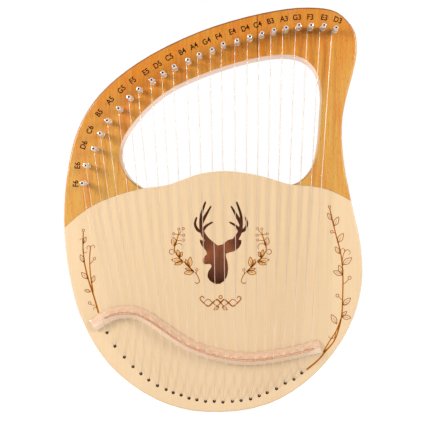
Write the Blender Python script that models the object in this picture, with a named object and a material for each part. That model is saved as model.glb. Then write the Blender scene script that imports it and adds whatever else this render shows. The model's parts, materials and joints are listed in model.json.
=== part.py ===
"""A 24-string lyre harp: a wooden frame with a window, a hollow sound box, an S-shaped bridge,
24 tuning pins that turn in the yoke, and 24 strings that run from the pins to the bottom edge.

The harp stands upright in the X-Z plane. Its back lies on the plane y = 0, and its front faces -Y.
"""

import math

import bmesh
import bpy
import numpy as np
from mathutils import Vector

MM = 0.001

# Driving dimensions, in millimetres.
THICKNESS = 25.0  # whole body, front face to back face
BOARD = 3.0  # soundboard and back board
GAP = 0.3  # clearance that glued or touching pieces keep
ROUNDING = 2.5  # radius of the outer edges
ROUNDING_STEPS = 3
WINDOW_CHAMFER = 1.0
RIM = 8.0  # side wall of the sound box
LEDGE = 10.0  # how far the frame reaches under the soundboard's top edge

FACE = -THICKNESS  # y of the front face
SOUNDBOARD_BACK = FACE + BOARD
INNER_FRONT = SOUNDBOARD_BACK + GAP  # front of everything inside the sound box
BACK_BOARD_FRONT = -BOARD
INNER_BACK = BACK_BOARD_FRONT - GAP  # back of everything inside the sound box

# Outer outline of the body, clockwise from the top, as (x, z).
OUTLINE = [
    (120, 257), (157, 251), (179, 227), (182, 206), (180, 186), (164, 118), (165, 66), (175, 11),
    (187, -46), (188, -97), (171, -153), (129, -209), (70, -247), (-10, -257), (-72, -242),
    (-132, -198), (-166, -143), (-183, -83), (-190, -13), (-184, 58), (-171, 105), (-145, 146),
    (-96, 187), (-19, 226), (63, 250),
]
OUTLINE_STEPS = 4

# Upper edge of the soundboard, left to right. It runs a little past the body at both ends.
SEAM = [
    (-218, -52), (-190, -24), (-172, -8), (-153, 5), (-134, 14), (-113, 21), (-89, 27), (-59, 31),
    (-39, 38), (-15, 46), (15, 49), (44, 46), (67, 41), (97, 32), (122, 30), (143, 26), (160, 19),
    (176, 10), (206, -12),
]
SEAM_STEPS = 3

# Window between the arms, from the soundboard's edge on the left round to the right.
WINDOW = [
    (-91, 27), (-108, 40), (-119, 63), (-117, 84), (-99, 113), (-63, 147), (-17, 170), (46, 190),
    (89, 196), (112, 192), (128, 179), (137, 153), (136, 120), (132, 76), (124, 51), (110, 36),
    (101, 32),
]
WINDOW_STEPS = 3

# Centre line of the bridge, left to right.
BRIDGE = [
    (-152, -147), (-139, -138), (-127, -132), (-113, -130), (-98, -131), (-84, -137), (-67, -148),
    (-34, -170), (9, -185), (48, -189), (87, -184), (135, -173),
]
BRIDGE_STEPS = 3
BRIDGE_HALF_WIDTH = 8.0
BRIDGE_HEIGHT = 9.5
BRIDGE_END_HEIGHT = 5.0
SADDLE_HALF_WIDTH = 1.0
SADDLE_FOOT = 6.3
SADDLE_TOP = 10.8
SADDLE_FIRST = 0.07  # where the saddle begins and ends, as shares of the bridge's length
SADDLE_LAST = 0.97
SADDLE_DRIFT = 7.0  # how far the last string is led sideways where it crosses the saddle
BRIDGE_END_SHARE = 0.06  # the share of its length over which each end of the bridge rises
BRIDGE_RIDGE = 2.4  # half width of the flat along the bridge's top
BRIDGE_PLATE = 2.0
TAIL_BLOCK_REACH = 21.0  # how far in from the body's edge the tail block reaches

# Planes where the pieces of the frame are glued, and the sound box's rail between them.
YOKE_SEAM_X = 55.5
RAIL_LEFT_X = -86.0
RAIL_RIGHT_X = 96.0
BOTTOM_SEAM_X = 0.0

# Tuning pins. Heights are measured out from the front face.
PIN_RADIUS = 2.8
PIN_DEPTH = 18.0
PIN_HOLE_RADIUS = 3.1
PIN_HOLE_DEPTH = 18.6
COIL_BOTTOM = 3.0
COIL_TURNS = 4
HEAD_BOTTOM = 12.0
HEAD_TOP = 21.0

# Strings.
THINNEST_WIRE = 0.50
THICKEST_WIRE = 0.95
TAIL_HOLE_RADIUS = 1.4
BALL_RADIUS = 2.0
BALL_HOLE_RADIUS = 2.6

# Each string's note, its pin's place and its tail hole's place, as (x, z), treble first.
STRINGS = [
    ("f6", (-162, 33), (-135, -156)),
    ("e6", (-158, 55), (-125, -173)),
    ("d6", (-148, 76), (-113, -187)),
    ("c6", (-140, 95), (-102, -199)),
    ("b5", (-131, 111), (-92, -208)),
    ("a5", (-117, 126), (-82, -216)),
    ("g5", (-104, 140), (-71, -223)),
    ("f5", (-92, 150), (-60, -228)),
    ("e5", (-76, 161), (-51, -232)),
    ("d5", (-62, 170), (-41, -235)),
    ("c5", (-48, 178), (-31, -239)),
    ("b4", (-31, 186), (-21, -241)),
    ("a4", (-17, 193), (-10, -243)),
    ("g4", (-1, 199), (1, -243)),
    ("f4", (13, 206), (12, -244)),
    ("e4", (30, 210), (24, -243)),
    ("d4", (46, 215), (35, -242)),
    ("c4", (61, 219), (47, -240)),
    ("b3", (76, 223), (58, -236)),
    ("a3", (91, 226), (68, -232)),
    ("g3", (107, 229), (80, -227)),
    ("f3", (122, 229), (91, -220)),
    ("e3", (138, 229), (102, -215)),
    ("d3", (153, 226), (112, -207)),
]

ROUND_SIDES = 12
SHARP_ANGLE = math.radians(35)
HOLE_SIDES = 8
WIRE_SIDES = 6

# Sound hole: a stag's head. Points are (x, z) from the middle of the forehead, and the antlers
# are strokes whose widths run from root to tip.
STAG_CENTRE = (9.6, -44.0)
STAG_HEAD = [
    (2, 0), (8, 5), (15, 7), (26, 5), (23, -4), (16, -9), (6, -12), (8, -21), (9, -31), (7, -42),
    (-1, -50), (-10, -49), (-17, -42), (-16, -34), (-12, -28), (-14, -25), (-22, -25), (-23, -18),
    (-18, -12), (-20, -7), (-25, -1), (-27, 6), (-19, 3), (-10, -1),
]
STAG_STEPS = 2
ANTLER_STROKES = [
    ([(7, -4), (18, 6), (24, 16), (25.5, 27), (25, 38), (20, 53)], 7.4, 2.4),
    ([(22, 16), (29, 18), (33, 26), (31, 34)], 5.0, 2.2),
    ([(25, 27), (21, 34), (17, 41), (13, 48)], 5.0, 2.0),
    ([(24, 17), (18, 24), (11, 28)], 4.2, 2.2),
]


def clear_scene():
    for item in list(bpy.data.objects):
        bpy.data.objects.remove(item, do_unlink=True)


def make_material(name, colour, roughness, metallic=0.0):
    """A Principled material. The colour is linear RGB."""
    material = bpy.data.materials.new(name)
    material.use_nodes = True
    shader = material.node_tree.nodes["Principled BSDF"]
    shader.inputs["Base Color"].default_value = (*colour, 1.0)
    shader.inputs["Roughness"].default_value = roughness
    shader.inputs["Metallic"].default_value = metallic
    material.diffuse_color = (*colour, 1.0)
    return material


# Curves in the plane of the harp.


def spline_span(before, start, end, after, steps):
    """Points from start up to, not including, end on a centripetal Catmull-Rom spline."""
    knot_0 = 0.0
    knot_1 = knot_0 + math.sqrt(np.linalg.norm(start - before))
    knot_2 = knot_1 + math.sqrt(np.linalg.norm(end - start))
    knot_3 = knot_2 + math.sqrt(np.linalg.norm(after - end))
    points = []
    for step in range(steps):
        knot = knot_1 + (knot_2 - knot_1) * step / steps
        a1 = ((knot_1 - knot) * before + (knot - knot_0) * start) / (knot_1 - knot_0)
        a2 = ((knot_2 - knot) * start + (knot - knot_1) * end) / (knot_2 - knot_1)
        a3 = ((knot_3 - knot) * end + (knot - knot_2) * after) / (knot_3 - knot_2)
        b1 = ((knot_2 - knot) * a1 + (knot - knot_0) * a2) / (knot_2 - knot_0)
        b2 = ((knot_3 - knot) * a2 + (knot - knot_1) * a3) / (knot_3 - knot_1)
        points.append(((knot_2 - knot) * b1 + (knot - knot_1) * b2) / (knot_2 - knot_1))
    return points


def smooth_closed(corners, steps):
    """A smooth closed curve through the corners, as an array of (x, z) rows."""
    corners = [np.array(corner, float) for corner in corners]
    count = len(corners)
    points = []
    for i in range(count):
        neighbours = [corners[(i + k) % count] for k in (-1, 0, 1, 2)]
        points += spline_span(*neighbours, steps)
    return np.array(points)


def smooth_open(corners, steps):
    """A smooth open curve through the corners, both ends included."""
    corners = [np.array(corner, float) for corner in corners]
    first = 2 * corners[0] - corners[1]
    last = 2 * corners[-1] - corners[-2]
    padded = [first, *corners, last]
    points = []
    for i in range(1, len(padded) - 2):
        points += spline_span(*padded[i - 1 : i + 3], steps)
    points.append(corners[-1])
    return np.array(points)


def left_normals(points, closed):
    """Unit normals on the left of the direction of travel."""
    if closed:
        along = np.roll(points, -1, axis=0) - np.roll(points, 1, axis=0)
    else:
        along = np.gradient(points, axis=0)
    along /= np.linalg.norm(along, axis=1)[:, None]
    return np.stack([-along[:, 1], along[:, 0]], axis=1)


def outset(points, distance):
    """A clockwise closed curve, moved outward by distance."""
    return points + left_normals(points, closed=True) * distance


def crossing(start, end, curve):
    """Where the line from start to end crosses an open curve."""
    along = end - start
    for a, b in zip(curve[:-1], curve[1:]):
        edge = b - a
        determinant = along[0] * edge[1] - along[1] * edge[0]
        if abs(determinant) < 1e-9:
            continue
        offset = a - start
        on_curve = (offset[0] * along[1] - offset[1] * along[0]) / determinant
        if 0 <= on_curve <= 1:
            return a + edge * on_curve
    return end


# Solids.


def mesh_from_rings(rings):
    """A closed mesh from rings of equal length, capped at both ends. Points are in millimetres."""
    mesh = bmesh.new()
    rows = [[mesh.verts.new(Vector(point) * MM) for point in ring] for ring in rings]
    for lower, upper in zip(rows[:-1], rows[1:]):
        count = len(lower)
        for i in range(count):
            j = (i + 1) % count
            mesh.faces.new((lower[i], lower[j], upper[j], upper[i]))
    mesh.faces.new(list(reversed(rows[0])))
    mesh.faces.new(rows[-1])
    bmesh.ops.recalc_face_normals(mesh, faces=mesh.faces)
    if mesh.calc_volume(signed=True) < 0:
        bmesh.ops.reverse_faces(mesh, faces=mesh.faces)
    return mesh


def smooth_round_parts(data):
    """Shade the rounded parts smooth and keep every real edge sharp."""
    data.shade_smooth()
    data.set_sharp_from_angle(angle=SHARP_ANGLE)


def add_object(name, mesh, material=None):
    data = bpy.data.meshes.new(name)
    mesh.to_mesh(data)
    mesh.free()
    smooth_round_parts(data)
    item = bpy.data.objects.new(name, data)
    bpy.context.collection.objects.link(item)
    if material:
        data.materials.append(material)
    return item


def ring_at(points, y):
    return [(x, y, z) for x, z in points]


def prism(points, y_low, y_high):
    """A cutter: the outline, pushed through from y_low to y_high."""
    return add_object("cutter", mesh_from_rings([ring_at(points, y_low), ring_at(points, y_high)]))


def circle(centre, radius, sides):
    angles = [2 * math.pi * (i + 0.5) / sides for i in range(sides)]
    return [(centre[0] + radius * math.cos(a), centre[1] + radius * math.sin(a)) for a in angles]


def peg_cutter(centres, radius, sides, y_low, y_high):
    """One cutter that holds a round peg at each centre."""
    mesh = bmesh.new()
    for centre in centres:
        peg = mesh_from_rings([ring_at(circle(centre, radius, sides), y) for y in (y_low, y_high)])
        data = bpy.data.meshes.new("peg")
        peg.to_mesh(data)
        peg.free()
        mesh.from_mesh(data)
        bpy.data.meshes.remove(data)
    return add_object("pegs", mesh)


def combine(item, cutter, operation="DIFFERENCE"):
    """Apply one Boolean to item and discard the cutter."""
    modifier = item.modifiers.new(operation.lower(), "BOOLEAN")
    modifier.operation = operation
    modifier.solver = "EXACT"
    modifier.object = cutter
    graph = bpy.context.evaluated_depsgraph_get()
    result = bpy.data.meshes.new_from_object(item.evaluated_get(graph))
    item.modifiers.clear()
    old = item.data
    item.data = result
    bpy.data.meshes.remove(old)
    bpy.data.objects.remove(cutter, do_unlink=True)
    return item


def copy_of(item, name):
    copy = item.copy()
    copy.data = item.data.copy()
    copy.name = name
    bpy.context.collection.objects.link(copy)
    return copy


def finish_wood(item, material):
    """Give a cut piece its own material and its smooth shading."""
    item.data.materials.clear()
    item.data.materials.append(material)
    smooth_round_parts(item.data)
    return item


# The wooden body.


def body_slab(outline):
    """The whole body as a plate with rounded outer edges."""
    levels = []
    for step in range(ROUNDING_STEPS + 1):
        angle = math.radians(90) * step / ROUNDING_STEPS
        levels.append((ROUNDING * (1 - math.sin(angle)), ROUNDING * (1 - math.cos(angle))))
    rings = [ring_at(outset(outline, -inset), FACE + depth) for inset, depth in levels]
    rings += [ring_at(outset(outline, -inset), -depth) for inset, depth in reversed(levels)]
    return add_object("slab", mesh_from_rings(rings))


def below_seam(seam, drop):
    """The outline of everything below the soundboard's upper edge, lowered by drop."""
    return [(x, z - drop) for x, z in seam] + [(240, -300), (-240, -300)]


def window_cutter(seam):
    """The window, a little wider at both faces so that its edges come out chamfered."""
    arch = smooth_open(WINDOW, WINDOW_STEPS)
    outward = left_normals(arch, closed=False)
    sill = [point for point in seam if arch[0][0] + 2 < point[0] < arch[-1][0] - 2]
    rings = []
    for y, widening in (
        (FACE - 1, WINDOW_CHAMFER),
        (FACE, WINDOW_CHAMFER),
        (FACE + WINDOW_CHAMFER, 0.0),
        (-WINDOW_CHAMFER, 0.0),
        (0.0, WINDOW_CHAMFER),
        (1.0, WINDOW_CHAMFER),
    ):
        rings.append(ring_at([*(arch + outward * widening), *reversed(sill)], y))
    return add_object("window", mesh_from_rings(rings))


def chamber_cutter(outline, seam):
    """The hollow of the sound box: inside the rim and below the ledge."""
    hollow = prism(outset(outline, -RIM), FACE - 2, 2)
    return combine(hollow, prism(below_seam(seam, LEDGE), FACE - 3, 3), "INTERSECT")


def make_ring(slab, outline, seam):
    """All of the frame round the window and the sound box, before it is split into pieces."""
    ring = copy_of(slab, "ring")
    combine(ring, prism(below_seam(seam, -GAP), FACE - 5, INNER_FRONT))
    combine(ring, prism(below_seam(seam, -GAP), INNER_BACK, 5))
    combine(ring, window_cutter(seam))
    combine(ring, chamber_cutter(outline, seam))
    return ring


def frame_pieces(ring, pin_places, stain, hidden_wood):
    """Split the ring into its left half, its right half and the rail between them."""
    high, low, wide, window_z, hollow_z = 300, -300, 300, 100, -60
    half_gap = GAP / 2
    left_zone = [
        (YOKE_SEAM_X - half_gap, high), (YOKE_SEAM_X - half_gap, window_z),
        (RAIL_LEFT_X - half_gap, window_z), (RAIL_LEFT_X - half_gap, hollow_z),
        (BOTTOM_SEAM_X - half_gap, hollow_z), (BOTTOM_SEAM_X - half_gap, low),
        (-wide, low), (-wide, high),
    ]
    right_zone = [
        (YOKE_SEAM_X + half_gap, high), (wide, high), (wide, low),
        (BOTTOM_SEAM_X + half_gap, low), (BOTTOM_SEAM_X + half_gap, hollow_z),
        (RAIL_RIGHT_X + half_gap, hollow_z), (RAIL_RIGHT_X + half_gap, window_z),
        (YOKE_SEAM_X + half_gap, window_z),
    ]
    rail_zone = [
        (RAIL_LEFT_X + half_gap, window_z), (RAIL_RIGHT_X - half_gap, window_z),
        (RAIL_RIGHT_X - half_gap, hollow_z), (RAIL_LEFT_X + half_gap, hollow_z),
    ]
    for name, zone, material in (
        ("frame_left", left_zone, stain),
        ("frame_right", right_zone, stain),
        ("chamber_rail", rail_zone, hidden_wood),
    ):
        piece = combine(copy_of(ring, name), prism(zone, FACE - 8, 8), "INTERSECT")
        low_x = min(x for x, z in zone)
        high_x = max(x for x, z in zone)
        holes = [(x, z) for x, z in pin_places if low_x < x < high_x]
        if name != "chamber_rail":
            pegs = peg_cutter(holes, PIN_HOLE_RADIUS, ROUND_SIDES, FACE - 2, FACE + PIN_HOLE_DEPTH)
            combine(piece, pegs)
        finish_wood(piece, material)


def stroke_outline(spine, root_width, tip_width, steps=3):
    """A tapering stroke along a smooth spine, with a pointed tip."""
    points = smooth_open(spine, steps)
    across = left_normals(points, closed=False)
    widths = np.linspace(root_width, tip_width, len(points)) / 2
    left = points + across * widths[:, None]
    right = points - across * widths[:, None]
    tip = points[-1] + (points[-1] - points[-2]) * 0.35
    return [*left, tip, *right[::-1]]


def stag_outlines():
    """The closed outlines that make up the sound hole: the head, then both antlers."""
    centre = np.array(STAG_CENTRE)
    outlines = [smooth_closed(STAG_HEAD, STAG_STEPS) + centre]
    for side in (1, -1):
        for spine, root_width, tip_width in ANTLER_STROKES:
            outline = np.array(stroke_outline(spine, root_width, tip_width)) * (side, 1)
            if side < 0:
                outline = outline[::-1]
            outlines.append(outline + centre)
    return outlines


def make_soundboard(slab, seam, tail_places, material):
    board = copy_of(slab, "soundboard")
    combine(board, prism(below_seam(seam, 0), FACE - 5, SOUNDBOARD_BACK), "INTERSECT")
    for outline in stag_outlines():
        combine(board, prism(outline, FACE - 2, SOUNDBOARD_BACK + 2))
    holes = peg_cutter(tail_places, TAIL_HOLE_RADIUS, HOLE_SIDES, FACE - 2, SOUNDBOARD_BACK + 2)
    combine(board, holes)
    return finish_wood(board, material)


def make_back_board(slab, seam, tail_places, material):
    board = copy_of(slab, "back_board")
    combine(board, prism(below_seam(seam, 0), BACK_BOARD_FRONT, 5), "INTERSECT")
    holes = peg_cutter(tail_places, BALL_HOLE_RADIUS, HOLE_SIDES, BACK_BOARD_FRONT - 2, 2)
    combine(board, holes)
    return finish_wood(board, material)


# Pieces inside the sound box.


def make_tail_block(outline, tail_places, material):
    """The block behind the tail holes, curved like the bottom edge."""
    first, last = 10.75, 16.0  # where it begins and ends, in corners of the outline
    span = slice(int(first * OUTLINE_STEPS), int(last * OUTLINE_STEPS) + 1)
    outer = outset(outline, -(RIM + GAP))[span]
    inner = outset(outline, -TAIL_BLOCK_REACH)[span]
    points = [*outer, *inner[::-1]]
    mesh = mesh_from_rings([ring_at(points, INNER_FRONT), ring_at(points, INNER_BACK)])
    block = add_object("tail_block", mesh)
    holes = peg_cutter(tail_places, TAIL_HOLE_RADIUS, HOLE_SIDES, INNER_FRONT - 2, INNER_BACK + 2)
    combine(block, holes)
    return finish_wood(block, material)


def make_brace(name, x_range, z_range, glued_y, depth, material):
    """A straight brace, glued at glued_y, with its free edge narrowed. Depth is signed."""
    x_low, x_high = x_range
    z_low, z_high = z_range
    rings = []
    for share, y in ((0.0, glued_y), (0.0, glued_y + depth * 0.6), (0.3, glued_y + depth)):
        pull = (z_high - z_low) * share
        corners = [
            (x_low + pull, z_low + pull), (x_high - pull, z_low + pull),
            (x_high - pull, z_high - pull), (x_low + pull, z_high - pull),
        ]
        rings.append(ring_at(corners, y))
    return add_object(name, mesh_from_rings(rings), material)


def sweep(name, path, section_at, material):
    """A bar along a path on the front face. section_at(share) gives (across, height) points."""
    across = left_normals(path, closed=False)
    rings = []
    for i, (point, side) in enumerate(zip(path, across)):
        ring = []
        for offset, height in section_at(i / (len(path) - 1)):
            x, z = point + side * offset
            ring.append((x, FACE - GAP - height, z))
        rings.append(ring)
    return add_object(name, mesh_from_rings(rings), material)


def part_of(path, first, last):
    """The stretch of a path between two shares of its length."""
    steps = np.linalg.norm(np.diff(path, axis=0), axis=1)
    distance = np.concatenate([[0.0], np.cumsum(steps)]) / steps.sum()
    places = [first, *[d for d in distance if first + 0.005 < d < last - 0.005], last]
    return np.stack([np.interp(places, distance, path[:, k]) for k in (0, 1)], axis=1)


def bridge_section(share):
    """A roof shape, lower at both ends of the bridge."""
    rise = min(1.0, share / BRIDGE_END_SHARE, (1 - share) / BRIDGE_END_SHARE)
    top = BRIDGE_END_HEIGHT + (BRIDGE_HEIGHT - BRIDGE_END_HEIGHT) * math.sin(rise * math.pi / 2)
    half = BRIDGE_HALF_WIDTH
    return [
        (-half, 0), (-half, 1.5), (-BRIDGE_RIDGE, top - 0.6), (-BRIDGE_RIDGE + 0.8, top),
        (BRIDGE_RIDGE - 0.8, top), (BRIDGE_RIDGE, top - 0.6), (half, 1.5), (half, 0),
    ]


def saddle_section(margin):
    """The saddle strip, or with a margin the slot that it stands in."""
    half = SADDLE_HALF_WIDTH + margin
    foot = SADDLE_FOOT - margin
    if margin:
        return [(-half, foot), (-half, SADDLE_TOP + 5), (half, SADDLE_TOP + 5), (half, foot)]
    return [
        (-half, foot), (-half, SADDLE_TOP - 0.7), (-half / 2, SADDLE_TOP),
        (half / 2, SADDLE_TOP), (half, SADDLE_TOP - 0.7), (half, foot),
    ]


def make_bridge(path, maple, bone):
    bridge = sweep("bridge", path, bridge_section, maple)
    slot_path = part_of(path, SADDLE_FIRST - 0.003, SADDLE_LAST + 0.003)
    combine(bridge, sweep("slot", slot_path, lambda share: saddle_section(GAP), None))
    finish_wood(bridge, maple)
    saddle_path = part_of(path, SADDLE_FIRST, SADDLE_LAST)
    sweep("saddle", saddle_path, lambda share: saddle_section(0.0), bone)


def make_bridge_plate(path, material):
    """The thin plate glued under the soundboard, along the bridge."""
    middle = part_of(path, 0.06, 0.94)
    across = left_normals(middle, closed=False) * BRIDGE_HALF_WIDTH
    points = [*(middle + across), *(middle - across)[::-1]]
    rings = [ring_at(points, INNER_FRONT), ring_at(points, INNER_FRONT + BRIDGE_PLATE)]
    return add_object("bridge_plate", mesh_from_rings(rings), material)


# Tuning pins and strings.


def wire_size(index):
    """Wire diameter: each string is thicker than the last by the same factor."""
    share = index / (len(STRINGS) - 1)
    return THINNEST_WIRE * (THICKEST_WIRE / THINNEST_WIRE) ** share


def round_ring(radius, height):
    angles = [2 * math.pi * i / ROUND_SIDES for i in range(ROUND_SIDES)]
    return [(radius * math.cos(a), -height, radius * math.sin(a)) for a in angles]


def square_ring(half, height):
    """A square with small chamfers, with as many points as a round ring."""
    near = half * 0.72
    ring = []
    for quarter in range(4):
        turn = math.pi / 2 * quarter
        for x, z in ((half, 0.0), (half, near), (near, half)):
            ring.append(
                (x * math.cos(turn) - z * math.sin(turn), -height, x * math.sin(turn) + z * math.cos(turn))
            )
    return ring


def make_pin(note, place, wire, material):
    """A tuning pin with its wound coil. Its origin is on its own axis, in the front face."""
    coil_top = COIL_BOTTOM + COIL_TURNS * wire
    rings = [
        round_ring(PIN_RADIUS - 0.6, -PIN_DEPTH),
        round_ring(PIN_RADIUS, -PIN_DEPTH + 0.8),
        round_ring(PIN_RADIUS, COIL_BOTTOM),
        round_ring(PIN_RADIUS + wire, COIL_BOTTOM + wire / 2),
        round_ring(PIN_RADIUS + wire, coil_top - wire / 2),
        round_ring(PIN_RADIUS, coil_top),
        round_ring(PIN_RADIUS, HEAD_BOTTOM),
        square_ring(2.4, HEAD_BOTTOM + 1.5),
        square_ring(2.3, HEAD_TOP - 0.4),
        square_ring(1.95, HEAD_TOP),
    ]
    pin = add_object(f"pin_{note}", mesh_from_rings(rings), material)
    pin.location = Vector((place[0], FACE, place[1])) * MM
    return pin


def tube_along(points, radii):
    """Rings of WIRE_SIDES points round a path that stays in one plane with the y axis."""
    points = [Vector(point) for point in points]
    flat = points[-1] - points[0]
    sideways = Vector((flat.z, 0.0, -flat.x)).normalized()
    rings = []
    for i, (point, radius) in enumerate(zip(points, radii)):
        before = points[max(i - 1, 0)]
        after = points[min(i + 1, len(points) - 1)]
        along = (after - point).normalized() + (point - before).normalized()
        upward = sideways.cross(along.normalized())
        ring = []
        for k in range(WIRE_SIDES):
            angle = 2 * math.pi * k / WIRE_SIDES
            ring.append(point + (sideways * math.cos(angle) + upward * math.sin(angle)) * radius)
        rings.append(ring)
    return rings


def saddle_place(tangent, tail, bridge_path, share):
    """Where a string crosses the saddle: beside the straight way from pin to tail, more so for the bass."""
    x = crossing(tangent, tail, bridge_path)[0] + SADDLE_DRIFT * share
    return np.array((x, np.interp(x, bridge_path[:, 0], bridge_path[:, 1])))


def make_string(index, wire, bridge_path, material):
    """A string, from its ball end behind the tail hole, over the saddle, to just short of its coil."""
    note, pin_place, tail_place = STRINGS[index]
    radius = wire / 2
    tail = np.array(tail_place, float)
    tangent = np.array(pin_place, float) - (PIN_RADIUS + radius, 0.0)
    over = saddle_place(tangent, tail, bridge_path, index / (len(STRINGS) - 1))
    toward_saddle = (over - tangent) / np.linalg.norm(over - tangent)
    coil_reach = PIN_RADIUS + wire + radius + GAP
    stop = tangent + toward_saddle * math.sqrt(coil_reach**2 - (PIN_RADIUS + radius) ** 2)
    saddle_y = FACE - GAP - SADDLE_TOP - GAP - radius
    coil_y = FACE - COIL_BOTTOM - radius
    ball_back, ball_front = -0.5, BACK_BOARD_FRONT + 0.1
    points = [
        (tail[0], ball_back, tail[1]),
        (tail[0], ball_back - 0.4, tail[1]),
        (tail[0], ball_front, tail[1]),
        (tail[0], ball_front - 0.3, tail[1]),
        (tail[0], FACE - radius, tail[1]),
        *saddle_bend(tail, over, stop, saddle_y),
        (stop[0], coil_y, stop[1]),
    ]
    radii = [BALL_RADIUS - 0.4, BALL_RADIUS, BALL_RADIUS, radius, *[radius] * (len(points) - 4)]
    return add_object(f"string_{note}", mesh_from_rings(tube_along(points, radii)), material)


def saddle_bend(tail, over, stop, saddle_y):
    """Two points that carry the string over the saddle's rounded top."""
    half = SADDLE_HALF_WIDTH
    points = []
    for end in (tail, stop):
        direction = (end - over) / np.linalg.norm(end - over)
        x, z = over + direction * half
        points.append((x, saddle_y, z))
    return points


def make_harp():
    clear_scene()
    stain = make_material("stained_hardwood", (0.62, 0.27, 0.06), 0.28)
    spruce = make_material("spruce", (0.86, 0.64, 0.40), 0.45)
    maple = make_material("maple", (0.80, 0.53, 0.36), 0.4)
    hidden_wood = make_material("inner_wood", (0.55, 0.33, 0.17), 0.6)
    bone = make_material("saddle_bone", (0.85, 0.72, 0.56), 0.35)
    chrome = make_material("chrome", (0.75, 0.75, 0.76), 0.15, 1.0)
    steel = make_material("string_steel", (0.62, 0.62, 0.63), 0.3, 1.0)

    outline = smooth_closed(OUTLINE, OUTLINE_STEPS)
    seam = smooth_open(SEAM, SEAM_STEPS)
    bridge_path = smooth_open(BRIDGE, BRIDGE_STEPS)
    pin_places = [pin for note, pin, tail in STRINGS]
    tail_places = [tail for note, pin, tail in STRINGS]

    slab = body_slab(outline)
    ring = make_ring(slab, outline, seam)
    frame_pieces(ring, pin_places, stain, hidden_wood)
    make_soundboard(slab, seam, tail_places, spruce)
    make_back_board(slab, seam, tail_places, stain)
    for helper in (slab, ring):
        bpy.data.objects.remove(helper, do_unlink=True)

    make_tail_block(outline, tail_places, hidden_wood)
    make_brace("upper_brace", (-58, 98), (12, 19), INNER_FRONT, 8.0, spruce)
    make_brace("lower_brace", (-164, 173), (-112, -104), INNER_FRONT, 8.0, spruce)
    make_brace("back_brace", (-160, 169), (-128, -118), INNER_BACK, -7.0, spruce)
    make_bridge(bridge_path, maple, bone)
    make_bridge_plate(bridge_path, hidden_wood)
    for index, (note, pin_place, tail_place) in enumerate(STRINGS):
        wire = wire_size(index)
        make_pin(note, pin_place, wire, chrome)
        make_string(index, wire, bridge_path, steel)


make_harp()
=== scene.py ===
"""Looks of the 24-string lyre harp: its woods, pins, strings and burnt decoration."""

import json
import math

import bmesh
import bpy
import numpy as np
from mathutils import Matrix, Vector


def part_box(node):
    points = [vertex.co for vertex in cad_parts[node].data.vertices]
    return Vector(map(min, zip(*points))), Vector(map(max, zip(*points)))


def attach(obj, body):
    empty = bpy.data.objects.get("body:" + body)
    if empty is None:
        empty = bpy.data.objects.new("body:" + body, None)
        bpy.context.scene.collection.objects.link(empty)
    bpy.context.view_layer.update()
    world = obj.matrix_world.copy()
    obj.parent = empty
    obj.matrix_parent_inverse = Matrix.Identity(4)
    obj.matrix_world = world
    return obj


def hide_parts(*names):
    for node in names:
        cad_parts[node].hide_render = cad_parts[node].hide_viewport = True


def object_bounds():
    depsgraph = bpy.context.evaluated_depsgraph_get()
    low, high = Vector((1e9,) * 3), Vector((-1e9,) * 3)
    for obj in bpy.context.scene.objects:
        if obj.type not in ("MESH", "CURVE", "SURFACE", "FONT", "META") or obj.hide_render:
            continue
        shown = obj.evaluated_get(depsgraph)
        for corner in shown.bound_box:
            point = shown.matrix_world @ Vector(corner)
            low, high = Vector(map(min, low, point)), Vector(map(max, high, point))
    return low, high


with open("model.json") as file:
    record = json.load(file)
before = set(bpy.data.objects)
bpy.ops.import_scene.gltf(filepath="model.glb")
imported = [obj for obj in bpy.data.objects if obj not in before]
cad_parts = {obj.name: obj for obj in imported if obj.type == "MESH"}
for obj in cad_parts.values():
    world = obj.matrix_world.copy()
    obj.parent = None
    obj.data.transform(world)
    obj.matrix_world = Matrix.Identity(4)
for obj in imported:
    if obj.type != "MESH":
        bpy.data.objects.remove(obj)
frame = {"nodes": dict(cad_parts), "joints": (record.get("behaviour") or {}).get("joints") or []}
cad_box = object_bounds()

MM = 0.001

# Sizes in millimetres, as the part has them.
FACE = -25.0  # y of the front face
PIN_RADIUS = 2.8
COIL_BOTTOM = 3.0  # height of the string above the face where it meets its pin
COIL_TURNS = 4
COIL_STEPS = 26  # points in each turn
COIL_PITCH = 1.03  # from one turn to the next, in wire diameters
CROSS_HOLE = 9.0  # height of the hole that the string goes through
HEAD_BOTTOM = 12.0
HEAD_TOP = 21.0
THREAD_TURNS = 8
THREAD_PITCH = 0.55
DIMPLE_RADIUS = 1.16
DIMPLE_DEPTH = 2.2
DIMPLE_LIP = 0.05  # faces nearer the top of the head than this are outside the dimple
THINNEST_WIRE = 0.50
THICKEST_WIRE = 0.95
FIRST_WOUND = 12  # the strings from this one on have a winding
TAIL_HOLE_RADIUS = 1.4
BALL_REACH = 3.1  # the ball end lies nearer the back face than this
BURN_LIFT = 0.03  # how far the burnt lines stand off the wood
SEAM = 0.3  # the joint's width across the yoke
GLUE_INSET = 0.5  # how far the glue stays inside the yoke's faces
SOUND_HOLE_SPAN = ((-40, -110), (60, 25))  # a box round the sound hole, as two corners (x, z)

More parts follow.
